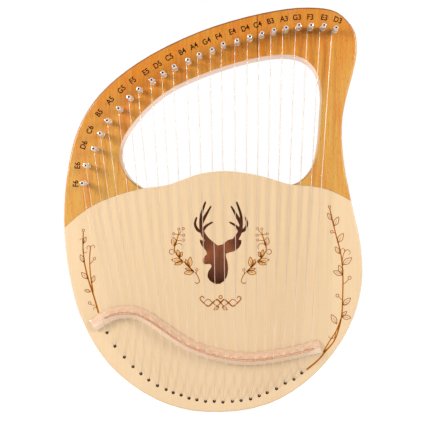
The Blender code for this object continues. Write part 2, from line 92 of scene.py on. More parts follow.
# The note burnt beside each pin: its lean to the left in degrees, and its distance from the pin.
LABELS = [
    ("f6", 90, 12.5), ("e6", 86, 14.2), ("d6", 70, 17.3), ("c6", 69, 17.6), ("b5", 50, 18.0),
    ("a5", 48, 18.6), ("g5", 45, 17.4), ("f5", 37, 17.2), ("e5", 35, 16.6), ("d5", 33, 16.2),
    ("c5", 28, 17.0), ("b4", 31, 16.6), ("a4", 29, 16.2), ("g4", 28, 16.3), ("f4", 25, 15.0),
    ("e4", 21, 16.8), ("d4", 21, 15.9), ("c4", 18, 16.3), ("b3", 13, 16.3), ("a3", 5, 15.8),
    ("g3", 4, 14.6), ("f3", -3, 15.0), ("e3", -10, 14.6), ("d3", -18, 15.0),
]
LABEL_SIZE = 9.9
LABEL_NARROWING = 0.9
LABEL_BOLDNESS = 0.22
NOTES = [note for note, lean, reach in LABELS]

# The stage, in metres and watts.
FRONT_LIGHT = 0.39
BACK_LIGHT = 1.0
FLOOR_REACH = 0.7
FLOOR_DROP = 0.0005  # from the lowest point of the harp
SOFTBOX_SIZE = (0.28, 0.5)
# Each softbox: its name, its place, the point it faces and its power.
SOFTBOXES = [
    ("left_softbox", (-0.95, -0.65, 0.42), (0, 0, 0.06), 15.2),
    ("right_softbox", (0.95, -0.6, 0.44), (0.02, 0, 0.06), 12.4),
]
CAMERA_PLACE = (0.038, -0.925, 0.012)
CAMERA_LENS = 60.4
CAMERA_SHIFT = (-0.0755, -0.0267)


# Materials.


def colour(red, green, blue):
    """Linear colour from screen values of 0 to 255."""
    parts = [value / 255 for value in (red, green, blue)]
    return (*[p / 12.92 if p <= 0.04045 else ((p + 0.055) / 1.055) ** 2.4 for p in parts], 1.0)


class Finish:
    """One material's node tree, with short ways to make the nodes it needs."""

    def __init__(self, name, roughness, metallic=0.0):
        self.material = bpy.data.materials.new(name)
        self.material.use_nodes = True
        self.tree = self.material.node_tree
        self.surface = self.tree.nodes["Principled BSDF"]
        self.surface.inputs["Roughness"].default_value = roughness
        self.surface.inputs["Metallic"].default_value = metallic
        self.place = self.node("ShaderNodeTexCoord").outputs["Object"]

    def node(self, kind, inputs=None, **settings):
        made = self.tree.nodes.new(kind)
        for key, value in settings.items():
            setattr(made, key, value)
        for key, value in (inputs or {}).items():
            self.put(made.inputs[key], value)
        return made

    def put(self, socket, value):
        if isinstance(value, bpy.types.NodeSocket):
            self.tree.links.new(value, socket)
        else:
            socket.default_value = value

    def stretched(self, x, y, z):
        """Coordinates scaled by axis: the smaller the factor, the longer the pattern is drawn out."""
        return self.node("ShaderNodeMapping", {"Vector": self.place, "Scale": (x, y, z)}).outputs["Vector"]

    def noise(self, place, scale, detail=2.0, roughness=0.5, distortion=0.0):
        inputs = {"Vector": place, "Scale": scale, "Detail": detail, "Roughness": roughness}
        inputs["Distortion"] = distortion
        return self.node("ShaderNodeTexNoise", inputs).outputs["Fac"]

    def bands(self, place, scale, distortion, direction="X", profile="SIN"):
        inputs = {"Vector": place, "Scale": scale, "Distortion": distortion}
        inputs |= {"Detail": 2.0, "Detail Scale": 0.6}
        return self.node(
            "ShaderNodeTexWave", inputs, bands_direction=direction, wave_profile=profile
        ).outputs["Fac"]

    def span(self, value, low, high, low_out=0.0, high_out=1.0):
        """The value carried from one range to another, and held at that range's ends."""
        inputs = {"Value": value, "From Min": low, "From Max": high, "To Min": low_out, "To Max": high_out}
        return self.node("ShaderNodeMapRange", inputs).outputs["Result"]

    def maths(self, operation, first, second):
        made = self.node("ShaderNodeMath", operation=operation)
        self.put(made.inputs[0], first)
        self.put(made.inputs[1], second)
        return made.outputs["Value"]

    def mix(self, first, second, share, blend="MIX"):
        made = self.node("ShaderNodeMix", data_type="RGBA", blend_type=blend)
        self.put(made.inputs["Factor"], share)
        self.put(made.inputs["A"], first)
        self.put(made.inputs["B"], second)
        return made.outputs["Result"]

    def paint(self, value):
        self.put(self.surface.inputs["Base Color"], value)

    def rough(self, value, low, high):
        self.put(self.surface.inputs["Roughness"], self.span(value, 0.3, 0.7, low, high))

    def bump(self, height, strength, distance):
        inputs = {"Height": height, "Strength": strength, "Distance": distance}
        self.put(self.surface.inputs["Normal"], self.node("ShaderNodeBump", inputs).outputs["Normal"])

    def lacquer(self, weight, roughness):
        self.surface.inputs["Coat Weight"].default_value = weight
        self.surface.inputs["Coat Roughness"].default_value = roughness


def hardwood(name, light, deep, warm, pore, gloss):
    """Stained hardwood, deeper along the yoke, with upright streaks, fine fibres and short dark pores.

    Painted shade darkens the upper front arris, and painted light makes the window's head, which faces
    down, pale.
    """
    wood = Finish(name, 0.4)
    axes = wood.node("ShaderNodeSeparateXYZ", {"Vector": wood.place}).outputs
    toward_yoke = wood.maths("SUBTRACT", axes["Z"], wood.maths("MULTIPLY", axes["X"], 0.25))
    tone = wood.noise(wood.stretched(1, 1, 0.3), 16, 3, 0.55)
    streaks = wood.noise(wood.stretched(1, 1, 0.05), 260, 3, 0.6, 0.4)
    fibres = wood.noise(wood.stretched(1, 1, 0.04), 900, 2, 0.6)
    pores = wood.noise(wood.stretched(1, 1, 0.2), 1500, 2, 0.5)
    depth = wood.span(toward_yoke, 0.10, 0.19, 0.0, 0.75)
    depth = wood.maths("ADD", depth, wood.span(tone, 0.35, 0.65, -0.1, 0.15))
    depth = wood.maths("ADD", depth, wood.span(streaks, 0.35, 0.65, -0.15, 0.2))
    base = wood.mix(light, deep, wood.maths("ADD", depth, wood.span(fibres, 0.4, 0.7, -0.12, 0.3)))
    flame = wood.noise(wood.stretched(1, 1, 0.1), 110, 2, 0.5, 0.6)
    base = wood.mix(base, warm, wood.span(flame, 0.48, 0.68, 0.0, 0.45))
    base = wood.mix(base, pore, wood.span(pores, 0.58, 0.70, 0.0, 0.4))
    facing = wood.node("ShaderNodeNewGeometry").outputs["Normal"]
    facing = wood.node("ShaderNodeSeparateXYZ", {"Vector": facing}).outputs
    # Painted shade: the front arris that faces up is darkened towards the pore colour.
    painted_shade_upper_arris = wood.maths(
        "MULTIPLY",
        wood.span(facing["Z"], 0.12, 0.45, 0.0, 0.95),
        wood.span(facing["Y"], -0.25, -0.05, 1.0, 0.0),
    )
    # Painted light: the downward face of the window's head is painted pale, standing in for the bright
    # backdrop it reflects.
    painted_light_window_head = wood.maths(
        "MULTIPLY", wood.span(facing["Z"], -0.5, -0.15, 0.75, 0.0), wood.span(axes["Z"], 0.06, 0.08)
    )
    base = wood.mix(base, pore, painted_shade_upper_arris)
    base = wood.mix(base, colour(238, 208, 190), painted_light_window_head)
    wood.paint(base)
    wood.surface.inputs["Specular IOR Level"].default_value = 0.3
    wood.rough(fibres, 0.33, 0.5)
    wood.bump(wood.maths("SUBTRACT", fibres, wood.span(pores, 0.60, 0.70)), 0.25, 0.00012)
    wood.lacquer(gloss, 0.08)
    return wood.material


def spruce(name, light, dark, gloss):
    """Quarter-sawn softwood: narrow upright year lines that come and go, with a silky cross figure."""
    wood = Finish(name, 0.42)
    wander = wood.stretched(1, 1, 0.03)
    rings = wood.bands(wander, 190, 2.2)
    fine = wood.bands(wander, 430, 3.5)
    fade = wood.noise(wood.stretched(1, 1, 0.12), 30, 2, 0.5)
    fibres = wood.noise(wood.stretched(1, 1, 0.02), 1300, 2, 0.6)
    silk = wood.noise(wood.stretched(0.25, 1, 1), 160, 2, 0.5)
    line = wood.maths("MULTIPLY", wood.span(rings, 0.62, 1.0), wood.span(fade, 0.38, 0.62, 0.2, 0.7))
    base = wood.mix(light, dark, line)
    base = wood.mix(base, dark, wood.span(fine, 0.7, 1.0, 0.0, 0.22))
    base = wood.mix(base, dark, wood.span(fibres, 0.5, 0.75, 0.0, 0.3))
    base = wood.mix(base, light, wood.span(silk, 0.55, 0.75, 0.0, 0.35))
    wood.paint(base)
    wood.rough(fibres, 0.36, 0.5)
    wood.bump(wood.maths("ADD", fibres, line), 0.18, 0.00008)
    wood.lacquer(gloss, 0.12)
    return wood.material


def close_wood(name, light, dark, gloss, painted_light_below=0.0):
    """Close-grained light wood with lengthwise flecks along x, and painted light that makes its downward
    faces paler.
    """
    wood = Finish(name, 0.4)
    streaks = wood.noise(wood.stretched(0.12, 1, 1), 260, 3, 0.6, 0.3)
    flecks = wood.noise(wood.stretched(0.15, 1, 1), 1100, 2, 0.5)
    base = wood.mix(light, dark, wood.span(streaks, 0.42, 0.66))
    base = wood.mix(base, dark, wood.span(flecks, 0.58, 0.7, 0.0, 0.5))
    facing = wood.node("ShaderNodeNewGeometry").outputs["Normal"]
    upward = wood.node("ShaderNodeSeparateXYZ", {"Vector": facing}).outputs["Z"]
    # Painted light: faces that point down are paled, filling the shade under the bridge's lower slope.
    base = wood.mix(base, colour(228, 202, 176), wood.span(upward, -0.4, 0.0, painted_light_below, 0.0))
    wood.paint(base)
    wood.rough(streaks, 0.3, 0.45)
    wood.bump(flecks, 0.15, 0.00008)
    wood.lacquer(gloss, 0.1)
    return wood.material


def polished_metal(name, bright, dull, low, high, metallic=1.0):
    """Plated or drawn metal with faint handling marks."""
    metal = Finish(name, low, metallic)
    marks = metal.noise(metal.stretched(1, 0.3, 1), 1400, 3, 0.6)
    metal.paint(metal.mix(bright, dull, metal.span(marks, 0.45, 0.75)))
    metal.rough(marks, low, high)
    metal.bump(marks, 0.08, 0.00005)
    return metal.material


def wound_wire(name, bright, groove):
    """Fine wire wound round a core: turns lie across the string, which runs nearly upright."""
    metal = Finish(name, 0.12, 0.12)
    turns = metal.bands(metal.place, 900, 0.0, "Z")
    metal.paint(metal.mix(groove, bright, metal.span(turns, 0.1, 0.6)))
    metal.bump(turns, 0.1, 0.00002)
    return metal.material


def burnt(name, deep, pale):
    """Lines burnt into the wood, uneven in depth."""
    mark = Finish(name, 0.65)
    depth = mark.noise(mark.place, 700, 3, 0.6)
    mark.paint(mark.mix(deep, pale, mark.span(depth, 0.4, 0.7)))
    mark.surface.inputs["Specular IOR Level"].default_value = 0.1
    mark.bump(depth, 0.2, 0.00006)
    return mark.material


STAINED = hardwood(
    "stained_hardwood", colour(188, 141, 65), colour(182, 106, 8), colour(180, 96, 38),
    colour(104, 50, 12), 0.25,
)
BACK_STAIN = hardwood(
    "back_hardwood", colour(206, 124, 78), colour(178, 90, 48), colour(158, 72, 38),
    colour(108, 46, 24), 0.25,
)
SPRUCE = spruce("spruce_top", colour(205, 178, 142), colour(191, 158, 114), 0.25)
INNER = spruce("brace_spruce", colour(214, 180, 130), colour(188, 146, 98), 0.0)
# The last value is the share of painted light that pales the bridge's downward faces.
MAPLE = close_wood("bridge_maple", colour(200, 168, 140), colour(192, 154, 126), 0.3, 0.8)
RIDGE = close_wood("saddle_strip", colour(202, 152, 116), colour(192, 130, 88), 0.3)
BLOCK = close_wood("tail_block_wood", colour(190, 140, 90), colour(160, 110, 66), 0.0)
CHROME = polished_metal("chrome_pin", (0.90, 0.82, 0.75, 1), (0.66, 0.58, 0.52, 1), 0.08, 0.16, 0.6)
# Painted shade: the inside of each pin head's dimple is near black.
DIMPLE_SHADE = polished_metal("pin_dimple_shade", (0.10, 0.07, 0.05, 1), (0.04, 0.03, 0.02, 1), 0.4, 0.6)
STEEL = polished_metal("plain_string", (0.60, 0.49, 0.38, 1), (0.48, 0.38, 0.28, 1), 0.08, 0.14, 0.12)
WOUND = wound_wire("wound_string", (0.62, 0.49, 0.37, 1), (0.42, 0.32, 0.23, 1))
BRASS = polished_metal("ball_end_brass", (0.83, 0.62, 0.30, 1), (0.60, 0.42, 0.20, 1), 0.2, 0.4)
SCORCH = burnt("burnt_line", colour(132, 66, 0), colour(152, 86, 6))
SINGED = burnt("singed_wood", colour(204, 158, 96), colour(205, 170, 120))
CHARRED = burnt("charred_edge", colour(30, 10, 2), colour(56, 22, 8))
LETTERING = burnt("burnt_lettering", colour(36, 12, 2), colour(58, 22, 4))
GLUE_LINE = burnt("glue_line", colour(92, 32, 8), colour(112, 44, 10))


# Mesh helpers. Their points are in millimetres.


def new_object(name, mesh, material, body):
    item = bpy.data.objects.new(name, mesh)
    bpy.context.scene.collection.objects.link(item)
    if material.name not in mesh.materials:
        mesh.materials.append(material)
    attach(item, body)
    return item


def mesh_of(name, points, faces, smooth=True):
    mesh = bpy.data.meshes.new(name)
    mesh.from_pydata([Vector(point) * MM for point in points], [], faces)
    mesh.polygons.foreach_set("use_smooth", [smooth] * len(mesh.polygons))
    mesh.validate()
    mesh.update()
    return mesh


def flattened(rings):
    return [point for ring in rings for point in ring]


def join_rings(rings, closed=False, first=0):
    """Faces between rings of equal length; open ends are capped."""
    sides = len(rings[0])
    faces = []
    count = len(rings) if closed else len(rings) - 1
    for i in range(count):
        a, b = first + i * sides, first + (i + 1) % len(rings) * sides
        for k in range(sides):
            n = (k + 1) % sides
            faces.append((a + k, a + n, b + n, b + k))
    if not closed:
        faces.append(tuple(first + k for k in reversed(range(sides))))
        faces.append(tuple(first + (len(rings) - 1) * sides + k for k in range(sides)))
    return faces


def tube_rings(path, radius, sides, closed=False):
    """Rings round a path, carried along it without twisting."""
    path = [Vector(point) for point in path]
    count = len(path)
    rings, side = [], None
    for i, point in enumerate(path):
        before = path[i - 1] if closed or i > 0 else path[0]
        after = path[(i + 1) % count] if closed or i < count - 1 else path[-1]
        along = (after - before).normalized()
        if side is None:
            side = along.orthogonal().normalized()
        side = (side - along * side.dot(along)).normalized()
        up = along.cross(side)
        turns = [2 * math.pi * k / sides for k in range(sides)]
        rings.append([point + (side * math.cos(t) + up * math.sin(t)) * radius for t in turns])
    return rings


def tube(name, path, radius, sides=8):
    """A tube with flat ends."""
    rings = tube_rings(path, radius, sides)
    mesh = mesh_of(name, flattened(rings), join_rings(rings))
    for face in mesh.polygons:
        face.use_smooth = len(face.vertices) == 4
    return mesh


def catmull(corners, steps, closed=False):
    """A smooth curve through points in a plane."""
    corners = [Vector(c) for c in corners]
    count = len(corners)
    spans = count if closed else count - 1
    curve = []
    for i in range(spans):
        b, c = corners[i], corners[(i + 1) % count]
        a = corners[i - 1] if closed or i > 0 else b * 2 - c
        d = corners[(i + 2) % count] if closed or i < count - 2 else c * 2 - b
        for s in range(steps):
            t = s / steps
            square = (2 * a - 5 * b + 4 * c - d) * t**2
            cube = (3 * b - 3 * c + d - a) * t**3
            curve.append(0.5 * (2 * b + (c - a) * t + square + cube))
    if not closed:
        curve.append(corners[-1])
    return curve


class Drawing:
    """Flat lines burnt on the front face, gathered into one mesh."""

    def __init__(self, lift=BURN_LIFT):
        self.points = []
        self.faces = []
        self.y = FACE - lift

    def ribbon(self, curve, width, end_width=None, closed=False):
        """A line of changing width along points (x, z)."""
        end_width = width if end_width is None else end_width
        first = len(self.points)
        count = len(curve)
        for i, point in enumerate(curve):
            before = curve[i - 1] if closed or i > 0 else point
            after = curve[(i + 1) % count] if closed or i < count - 1 else point
            along = (after - before).normalized()
            share = i / max(count - 1, 1)
            half = (width + (end_width - width) * share) / 2
            for sign in (-1, 1):
                x, z = point + sign * half * Vector((-along.y, along.x))
                self.points.append((x, self.y, z))
        for i in range(count if closed else count - 1):
            a, b = first + 2 * i, first + 2 * ((i + 1) % count)
            self.faces.append((a, b, b + 1, a + 1))

    def stroke(self, corners, width, end_width=None):
        self.ribbon(catmull(corners, 6), width, end_width)

    def ring(self, centre, radius, width):
        turns = [2 * math.pi * k / 20 for k in range(20)]
        circle = [Vector(centre) + radius * Vector((math.cos(t), math.sin(t))) for t in turns]
        self.ribbon(circle, width, closed=True)

    def leaf(self, base, tip, fullness=0.22, width=0.9):
        """A pointed leaf in outline, with its vein."""
        base, tip = Vector(base), Vector(tip)
        along = tip - base
        side = Vector((-along.y, along.x)) * fullness
        for sign in (-1, 1):
            middle = base + along * 0.42 + side * sign
            late = base + along * 0.78 + side * sign * 0.62
            self.stroke([base, middle, late, tip], width)
        self.stroke([base, base + along * 0.7], width * 0.8, 0.4)

    def object(self, name, material, slot):
        mesh = mesh_of(name, self.points, self.faces, smooth=False)
        return new_object(name, mesh, material, "root")


# The wooden pieces keep the shape of the frame.


def polished(node, material, sharp=50):
    """A copy of a CAD node, with its rounded edges shaded smooth and its flats left flat."""
    work = bmesh.new()
    work.from_mesh(frame["nodes"][node].data)
    bmesh.ops.remove_doubles(work, verts=work.verts, dist=1e-6)
    for edge in work.edges:
        edge.smooth = len(edge.link_faces) == 2 and edge.calc_face_angle(0.0) < math.radians(sharp)
    for face in work.faces:
        face.smooth = True
        face.material_index = 0
    mesh = bpy.data.meshes.new(f"{node}_wood")
    work.to_mesh(mesh)
    work.free()
    if "custom_normal" in mesh.attributes:
        mesh.attributes.remove(mesh.attributes["custom_normal"])
    mesh.materials.clear()
    item = new_object(f"{node}_wood", mesh, material, "root")
    shading = item.modifiers.new("even_shading", "WEIGHTED_NORMAL")
    shading.keep_sharp = True
    shading.weight = 90
    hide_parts(node)
    return item


def scorch_cuts(item):
    """The walls of the sound hole and of the tail holes, charred by the cutting."""
    mesh = item.data
    mesh.materials.append(CHARRED)
    low, high = SOUND_HOLE_SPAN
    tails = [string_places(note)[0] for note in NOTES]
    for face in mesh.polygons:
        spot = Vector((face.center.x, face.center.z)) / MM
        in_hole = low[0] < spot.x < high[0] and low[1] < spot.y < high[1]
        at_tail = any((spot - tail).length < TAIL_HOLE_RADIUS * 1.2 for tail in tails)
        if abs(face.normal.y) < 0.5 and (in_hole or at_tail):
            face.material_index = 1


def make_woods():
    for node, material, slot in (
        ("frame_left", STAINED, "stained_wood"),
        ("frame_right", STAINED, "stained_wood"),
        ("chamber_rail", STAINED, "stained_wood"),
        ("back_board", BACK_STAIN, "stained_wood"),
        ("soundboard", SPRUCE, "spruce_top"),
        ("bridge", MAPLE, "bridge_maple"),
        ("saddle", RIDGE, "saddle_strip"),
    ):
        item = polished(node, material)
        if node == "soundboard":
            scorch_cuts(item)
        if node == "back_board":
            item.data.materials.append(STAINED)
            for face in item.data.polygons:
                face.material_index = int(face.normal.y > -0.3)
    for node, material in (
        ("tail_block", BLOCK),
        ("upper_brace", INNER),
        ("lower_brace", INNER),
        ("back_brace", INNER),
        ("bridge_plate", BLOCK),
    ):
        slots = frame["nodes"][node].material_slots
        for place in slots:
            place.material = material


# Pins, coils and strings.


def wire_size(index):
    share = index / (len(NOTES) - 1)
    return THINNEST_WIRE * (THICKEST_WIRE / THINNEST_WIRE) ** share


def wire_finish(index):
    """The material and the slot of a string and of its coil."""
    if index >= FIRST_WOUND:
        return WOUND, "wound_string"
    return STEEL, "plain_string"


def pin_ring(height, half, power=2.0, sides=32):
    """A ring round the pin's axis: round for power 2, and a rounded square for a high power."""
    ring = []
    for k in range(sides):
        turn = 2 * math.pi * k / sides
        c, s = math.cos(turn), math.sin(turn)
        reach = half / (abs(c) ** power + abs(s) ** power) ** (1 / power)
        ring.append((reach * c, -height, reach * s))
    return ring


def pin_mesh():
    """A zither pin: a threaded foot, a shank with a cross hole, and a square head with a dimple."""
    rings = [pin_ring(-17.8, 2.0), pin_ring(-17.0, 2.6)]
    for k in range(THREAD_TURNS):
        rings += [pin_ring(-2.4 + THREAD_PITCH * k, 2.6), pin_ring(-2.12 + THREAD_PITCH * k, PIN_RADIUS)]
    rings += [
        pin_ring(2.2, 2.7),
        pin_ring(2.5, PIN_RADIUS),
        pin_ring(HEAD_BOTTOM - 0.7, PIN_RADIUS),
        pin_ring(HEAD_BOTTOM + 0.1, 2.7, 2.4),
        pin_ring(HEAD_BOTTOM + 1.3, 2.62, 5),
        pin_ring(HEAD_BOTTOM + 1.8, 2.6, 6),
        pin_ring(HEAD_TOP - 0.7, 2.52, 6),
        pin_ring(HEAD_TOP - 0.2, 2.35, 5),
        pin_ring(HEAD_TOP, 2.0, 4),
        pin_ring(HEAD_TOP, 1.2),
        pin_ring(HEAD_TOP - 0.2, 1.1),
        pin_ring(HEAD_TOP - 1.5, 0.85),
        pin_ring(HEAD_TOP - 2.0, 0.3),
    ]
    shank = mesh_of("pin_blank", flattened(rings), join_rings(rings))
    drill_rings = tube_rings([(-4, -CROSS_HOLE, 0), (4, -CROSS_HOLE, 0)], 0.75, 16)
    drill = mesh_of("drill", flattened(drill_rings), join_rings(drill_rings))
    items = [bpy.data.objects.new(mesh.name, mesh) for mesh in (shank, drill)]
    for item in items:
        bpy.context.scene.collection.objects.link(item)
    cut = items[0].modifiers.new("cross_hole", "BOOLEAN")
    cut.operation = "DIFFERENCE"
    cut.solver = "EXACT"
    cut.object = items[1]
    graph = bpy.context.evaluated_depsgraph_get()
    mesh = bpy.data.meshes.new_from_object(items[0].evaluated_get(graph))
    mesh.name = "zither_pin"
    mesh.materials.append(CHROME)
    mesh.materials.append(DIMPLE_SHADE)
    # Painted shade: the faces inside the dimple take the near-black material.
    for face in mesh.polygons:
        off_axis = math.hypot(face.center.x, face.center.z) / MM
        depth = HEAD_TOP + face.center.y / MM
        if off_axis < DIMPLE_RADIUS and DIMPLE_LIP < depth < DIMPLE_DEPTH:
            face.material_index = 1
    mesh.set_sharp_from_angle(angle=math.radians(38))
    for item in items:
        bpy.data.objects.remove(item)
    return mesh


def coil_path(wire, lead):
    """From the lowest turn up round the pin, clockwise from the front, then through the cross hole."""
    radius = PIN_RADIUS + wire / 2
    start = COIL_BOTTOM + wire / 2
    turns = COIL_TURNS + lead
    path = []
    steps = round(turns * COIL_STEPS)
    for i in range(steps + 1):
        turn = turns * i / steps
        angle = math.pi - 2 * math.pi * turn
        height = start + wire * COIL_PITCH * min(turn, COIL_TURNS)
        if turn > COIL_TURNS:
            rise = (turn - COIL_TURNS) / lead
            height += (CROSS_HOLE - height) * rise * rise * (3 - 2 * rise)
        path.append((radius * math.cos(angle), -height, radius * math.sin(angle)))
    last = Vector(path[-1])
    inward = Vector((-last.x, 0, -last.z)).normalized()
    for step in (radius * 0.25, radius, radius * 1.9, radius * 2 + 1.0):
        path.append(last + inward * step)
    return path


def make_pins():
    shared = pin_mesh()
    for index, joint in enumerate(frame["joints"]):
        body = joint["child"]
        note = NOTES[index]
        place = Vector(joint["pos_m"])
        wire = wire_size(index)
        lead = 0.45 + 0.11 * (index * 3 % 5)
        hole_turn = math.pi - 2 * math.pi * (COIL_TURNS + lead)
        pin = new_object(f"zither_pin_{note}", shared, CHROME, body)
        pin.location = place
        pin.rotation_euler = (0, -hole_turn, 0)
        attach(pin, body)
        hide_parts(f"pin_{note}")
        rings = tube_rings(coil_path(wire, lead), wire / 2 * 0.98, 8)
        points = flattened(rings)
        faces = join_rings(rings)
        turns = [2 * math.pi * k / 28 for k in range(28)]
        loop = PIN_RADIUS + wire / 2
        lowest = [(loop * math.cos(t), -COIL_BOTTOM - wire / 2, loop * math.sin(t)) for t in turns]
        base_rings = tube_rings(lowest, wire / 2, 8, closed=True)
        faces += join_rings(base_rings, closed=True, first=len(points))
        points += flattened(base_rings)
        mesh = mesh_of(f"coil_{note}", points, faces)
        material, slot = wire_finish(index)
        coil = new_object(f"coil_{note}", mesh, material, body)
        coil.location = place
        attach(coil, body)


def string_places(note):
    """The string's tail hole and its crossing of the saddle, as (x, z), and its y at that crossing."""
    points = np.array([v.co for v in frame["nodes"][f"string_{note}"].data.vertices]) / MM
    ball = points[points[:, 1] > -BALL_REACH]
    top = points[points[:, 1] < points[:, 1].min() + 0.02]
    tail = (ball.min(axis=0) + ball.max(axis=0)) / 2
    over = (top.min(axis=0) + top.max(axis=0)) / 2
    return Vector((tail[0], tail[2])), Vector((over[0], over[2])), points[:, 1].min()


def string_path(index, joint):
    """The string's line: from its ball end out of its hole, over the saddle and up to its pin's left side.

    Extra points near its ends and its bends keep its shading even.
    """
    note = NOTES[index]
    radius = wire_size(index) / 2
    tail, over, highest = string_places(note)
    pin = Vector(joint["pos_m"]) / MM
    tangent = Vector((pin.x - PIN_RADIUS - radius, pin.z))
    top = highest + radius
    to_pin = (tangent - over).normalized()
    to_tail = (tail - over).normalized()
    slope_down = (FACE - top) / (tail - over).length
    path = [(tail.x, -2.0, tail.y), (tail.x, -6.0, tail.y), (tail.x, FACE + 0.9, tail.y)]
    lip = tail + (over - tail).normalized() * 0.25
    path.append((lip.x, FACE + 0.25, lip.y))
    lift = tail + (over - tail).normalized() * 0.9
    path.append((lift.x, FACE - radius - 0.35, lift.y))
    for reach, drop in ((3.0, None), (1.1, 0.18), (0.45, 0.02)):
        point = over + to_tail * reach
        y = top + slope_down * reach if drop is None else top + drop
        path.append((point.x, y, point.y))
    for reach in (0.45, 1.1):
        point = over + to_pin * reach
        path.append((point.x, top + 0.01 * reach, point.y))
    last = Vector(path[-1])
    pin_side = Vector((tangent.x, FACE - COIL_BOTTOM - radius, tangent.y))
    path += [last.lerp(pin_side, share) for share in (0.01, 0.02, 0.25, 0.5, 0.75, 0.98, 0.99, 1.0)]
    return path


def ball_end_mesh():
    """A brass barrel with a bore, lying across its string."""
    profile = [
        (1.6, 0.75), (1.6, 1.1), (1.35, 1.3), (0.0, 1.15), (-1.35, 1.3), (-1.6, 1.1), (-1.6, 0.75),
        (0.0, 0.7),
    ]
    rings = []
    for k in range(18):
        turn = 2 * math.pi * k / 18
        rings.append([(x, r * math.cos(turn), r * math.sin(turn)) for x, r in profile])
    return mesh_of("ball_end", flattened(rings), join_rings(rings, closed=True))


def make_strings():
    ball_mesh = ball_end_mesh()
    for index, joint in enumerate(frame["joints"]):
        note = NOTES[index]
        mesh = tube(f"wire_{note}", string_path(index, joint), wire_size(index) / 2, 10)
        material, slot = wire_finish(index)
        wire = new_object(f"wire_{note}", mesh, material, "root")
        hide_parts(f"string_{note}")
        tail = string_places(note)[0]
        ball = new_object(f"ball_end_{note}", ball_mesh, BRASS, "root")
        ball.location = Vector((tail.x, -1.55, tail.y)) * MM
        ball.rotation_euler = (0, math.radians(index * 47 % 180), 0)
        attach(ball, "root")


# Burnt decoration and lettering.


def make_labels():
    """The note of each string, burnt beside its pin."""
    points, faces = [], []
    for (note, lean, reach), joint in zip(LABELS, frame["joints"]):
        text = bpy.data.curves.new("note", "FONT")
        text.body = note.upper()
        text.size = LABEL_SIZE
        text.align_x = "CENTER"
        text.align_y = "CENTER"
        text.offset = LABEL_BOLDNESS
        holder = bpy.data.objects.new("note", text)
        bpy.context.scene.collection.objects.link(holder)
        graph = bpy.context.evaluated_depsgraph_get()
        mesh = bpy.data.meshes.new_from_object(holder.evaluated_get(graph))
        turn = math.radians(lean)
        centre = Vector((joint["pos_m"][0], joint["pos_m"][2])) / MM
        centre += reach * Vector((-math.sin(turn), math.cos(turn)))
        first = len(points)
        for vertex in mesh.vertices:
            x, z = vertex.co.x * LABEL_NARROWING, vertex.co.y
            points.append(
                (
                    centre.x + x * math.cos(turn) - z * math.sin(turn),
                    FACE - BURN_LIFT,
                    centre.y + x * math.sin(turn) + z * math.cos(turn),
                )
            )
        faces += [tuple(first + v for v in face.vertices) for face in mesh.polygons]
        bpy.data.objects.remove(holder)
        bpy.data.curves.remove(text)
        bpy.data.meshes.remove(mesh)
    mesh = mesh_of("note_names", points, faces, smooth=False)
    new_object("note_names", mesh, LETTERING, "root")


LEFT_STEM = [(-165, -28), (-165.5, -47), (-163.4, -68), (-158.2, -90), (-151, -112), (-145.7, -131)]
LEFT_BRANCH = [(-155.8, -47), (-157, -62), (-156, -82), (-152.5, -105)]
LEFT_LEAVES = [
    ((-165.4, -43), (-161.8, -34.5)),
    ((-164.3, -67), (-168.8, -57)),
    ((-159.5, -88), (-167.5, -79.5)),
    ((-154.4, -93), (-150.8, -83.5)),
]
RIGHT_STEM = [
    (147.4, 2), (150, -10), (155.3, -32), (161.5, -56), (164, -80), (164, -105), (162.6, -134),
    (157.6, -155), (151.9, -168), (142.1, -179.6), (132.4, -191), (118.2, -202.8),
]
RIGHT_STRAND = [(161.5, -139), (155, -155), (147, -167), (139, -181)]
RIGHT_LEAVES = [
    ((150.6, -13.5), (144.6, -4.5)),
    ((152.8, -21), (158.6, -9)),
    ((157.5, -42), (164.6, -30)),
    ((160, -56), (154.4, -47)),
    ((163.4, -70), (175.4, -61)),
    ((163.8, -82), (158.8, -70.4)),
    ((163.8, -83), (152, -78)),
    ((163.7, -121), (174, -112)),
    ((162.7, -136), (174.5, -137)),
    ((162.7, -135), (169, -129)),
    ((156.4, -145), (149.4, -133)),
]


def curl(drawing, start, turn_to, size, width=0.9):
    """A small hooked tendril that starts at one point and curls round another."""
    start, centre = Vector(start), Vector(turn_to)
    arm = start - centre
    side = 1 if size > 0 else -1
    path = [start]
    for k in range(1, 6):
        angle = math.atan2(arm.y, arm.x) + side * 0.85 * k
        reach = arm.length + (abs(size) - arm.length) * min(1.0, k / 2.5)
        path.append(centre + reach * Vector((math.cos(angle), math.sin(angle))))
    drawing.stroke(path, width, width * 0.6)


